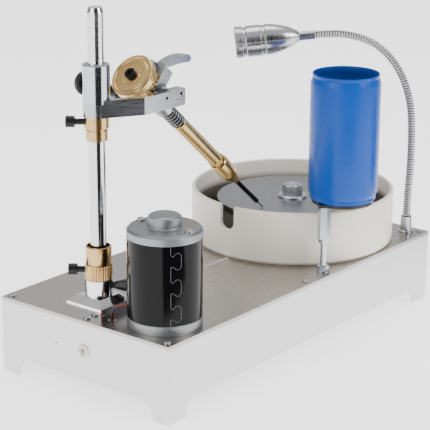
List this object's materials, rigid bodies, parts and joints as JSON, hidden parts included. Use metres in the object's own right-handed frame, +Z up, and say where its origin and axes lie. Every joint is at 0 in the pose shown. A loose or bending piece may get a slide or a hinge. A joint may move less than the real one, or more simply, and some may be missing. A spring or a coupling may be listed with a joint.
{
  "type": "faceting machine",
  "caption": "Bench faceting machine: motor-driven lap in a splash bowl, swinging quill with index wheel on a mast, drip tank and gooseneck lamp on a low metal base.",
  "frame": {"origin": "On the floor, under the middle of the machine's bounding box, at rest.", "axes": "X runs along the long side of the base from the mast to the bowl, Y to the back, Z up."},
  "size_m": [0.4146, 0.223, 0.337],
  "materials": {
    "brushed_plate": "brushed",
    "satin_panel": "satin",
    "aluminium_bar": "machined",
    "steel_fastener": "bright",
    "cream_plastic": "matte",
    "cast_grey": "cast",
    "gloss_black": "gloss",
    "machine_steel": "milled",
    "belt_rubber": "matte",
    "lap_metal": "lapped",
    "zinc": "zinc plated",
    "chrome_foot": "polished",
    "polished_rod": "ground",
    "black_plastic": "satin",
    "turned_brass": "turned",
    "handle_brass": "turned",
    "black_screw": "black oxide",
    "spring_steel": "drawn",
    "dark_steel": "drawn",
    "blue_can": "gloss",
    "lamp_metal": "satin",
    "neck_chrome": "polished",
    "lamp_glass": "clear",
    "led_white": "bright",
    "red_insulation": "smooth",
    "black_insulation": "smooth"
  },
  "bodies": {
    "base": {"top_plate": "brushed_plate", "front_panel": "satin_panel", "rear_panel": "satin_panel", "left_end_panel": "satin_panel", "right_end_panel": "satin_panel", "joining_blocks": "aluminium_bar", "plate_screws": "steel_fastener", "inlet_socket": "cream_plastic", "motor_lower_cap": "cast_grey", "motor_shell": "gloss_black", "motor_upper_cap": "cast_grey", "motor_tie_bolts": "steel_fastener", "deck_screws": "steel_fastener", "drive_belt": "belt_rubber", "bearing_housing": "aluminium_bar", "spindle_bearings": "machine_steel", "splash_bowl": "cream_plastic", "tank_post": "zinc", "stud_nuts": "zinc", "lamp_socket": "lamp_metal", "red_lead": "red_insulation", "black_lead": "black_insulation"},
    "lap": {"spindle": "machine_steel", "spindle_pulley": "aluminium_bar", "lap_disc": "lap_metal", "lap_washer": "zinc", "lap_nut": "zinc"},
    "motor_drive": {"motor_rotor": "machine_steel", "motor_pulley": "aluminium_bar"},
    "mast": {"mast_foot": "chrome_foot", "mast_rod": "polished_rod", "foot_bolt": "steel_fastener"},
    "mast_knob": {"mast_clamp_knob": "black_plastic"},
    "height_ring": {"adjusting_ring": "turned_brass", "ring_screw": "black_screw"},
    "height_stop": {"stop_collar": "turned_brass", "stop_screw": "black_screw"},
    "sleeve": {"head_sleeve": "machine_steel"},
    "lock_knob": {"head_lock_knob": "black_plastic"},
    "bracket": {"head_bracket": "machine_steel", "pivot_screws": "steel_fastener"},
    "quill": {"quill_carriage": "machine_steel"},
    "trigger": {"index_trigger": "machine_steel"},
    "quill_spindle": {"index_wheel": "turned_brass", "index_screw": "black_screw", "quill_shaft": "machine_steel", "quill_spring": "spring_steel"},
    "quill_nose": {"quill_handle": "handle_brass", "collet_chuck": "handle_brass", "dop_stick": "dark_steel"},
    "tank": {"tank_holder": "black_plastic", "drip_tank": "blue_can", "drip_tap": "handle_brass"},
    "tap_handle": {"tap_lever": "handle_brass"},
    "neck_lower": {"gooseneck_lower": "neck_chrome"},
    "neck_upper": {"gooseneck_upper": "neck_chrome"},
    "lamp_head": {"lamp_shell": "lamp_metal", "lamp_bezel": "lamp_metal", "lamp_lens": "lamp_glass", "led_module": "led_white"}
  },
  "joints": [
    {"name": "lap_spin", "type": "hinge", "parent": "base", "child": "lap", "pos_m": [0.1073, 0.0115, 0.111], "axis": [0, 0, 1], "continuous": true},
    {"name": "motor_spin", "type": "hinge", "parent": "base", "child": "motor_drive", "pos_m": [-0.1646, -0.0511, 0.041], "axis": [0, 0, 1], "continuous": true},
    {"name": "mast_slide", "type": "slide", "parent": "base", "child": "mast", "axis": [1, 0, 0], "range_m": [0, 0.03]},
    {"name": "mast_knob_turn", "type": "hinge", "parent": "mast", "child": "mast_knob", "pos_m": [-0.16099, 0.00074, 0.093], "axis": [0.6157, -0.788, 0], "range_deg": [0, 270]},
    {"name": "height_ring_turn", "type": "hinge", "parent": "mast", "child": "height_ring", "pos_m": [-0.1733, 0.0165, 0.107], "axis": [0, 0, 1], "range_deg": [-150, 150]},
    {"name": "height_stop_slide", "type": "slide", "parent": "mast", "child": "height_stop", "axis": [0, 0, 1], "range_m": [-0.05, 0]},
    {"name": "head_slide", "type": "slide", "parent": "mast", "child": "sleeve", "axis": [0, 0, 1], "range_m": [0, 0.04]},
    {"name": "lock_knob_turn", "type": "hinge", "parent": "sleeve", "child": "lock_knob", "pos_m": [-0.17121, 0.03135, 0.2703], "axis": [0.1392, 0.9903, 0], "range_deg": [0, 270]},
    {"name": "head_swing", "type": "hinge", "parent": "sleeve", "child": "bracket", "pos_m": [-0.1733, 0.0165, 0.251], "axis": [0, 0, 1], "range_deg": [-10, 14]},
    {"name": "quill_raise", "type": "hinge", "parent": "bracket", "child": "quill", "pos_m": [-0.10472, 0.01471, 0.251], "axis": [-0.0261, -0.9997, 0], "range_deg": [0, 60]},
    {"name": "trigger_pull", "type": "hinge", "parent": "quill", "child": "trigger", "pos_m": [-0.09704, 0.01451, 0.27212], "axis": [0.0261, 0.9997, 0], "range_deg": [0, 8], "stiffness_Nm_per_rad": 0.6, "springref_deg": -11.46},
    {"name": "index_turn", "type": "hinge", "parent": "quill", "child": "quill_spindle", "pos_m": [-0.10472, 0.01471, 0.251], "axis": [0.7562, -0.0198, -0.654], "continuous": true},
    {"name": "nose_slide", "type": "slide", "parent": "quill_spindle", "child": "quill_nose", "axis": [0.7562, -0.0198, -0.654], "range_m": [-0.004, 0], "stiffness_N_per_m": 1500, "springref_m": 0.003, "deforming": ["quill_spring"]},
    {"name": "tank_swivel", "type": "hinge", "parent": "base", "child": "tank", "pos_m": [0.0345, -0.0771, 0.135], "axis": [0, 0, 1], "range_deg": [-15, 5]},
    {"name": "tap_turn", "type": "hinge", "parent": "tank", "child": "tap_handle", "pos_m": [0.08084, -0.03988, 0.139], "axis": [0, 0, 1], "range_deg": [-90, 0]},
    {"name": "neck_turn", "type": "hinge", "parent": "base", "child": "neck_lower", "pos_m": [0.1891, -0.0718, 0.086], "axis": [0, 0, 1], "range_deg": [-60, 28]},
    {"name": "neck_bend", "type": "hinge", "parent": "neck_lower", "child": "neck_upper", "pos_m": [0.18999, -0.07294, 0.18275], "axis": [0.788, 0.6157, 0], "range_deg": [-20, 20]},
    {"name": "lamp_tilt", "type": "hinge", "parent": "neck_upper", "child": "lamp_head", "pos_m": [0.13009, 0.00373, 0.27175], "axis": [0.788, 0.6157, 0], "range_deg": [-25, 25]}
  ],
  "couplings": [
    {"joint": "motor_spin", "follows": "lap_spin", "ratio": 2.5}
  ]
}
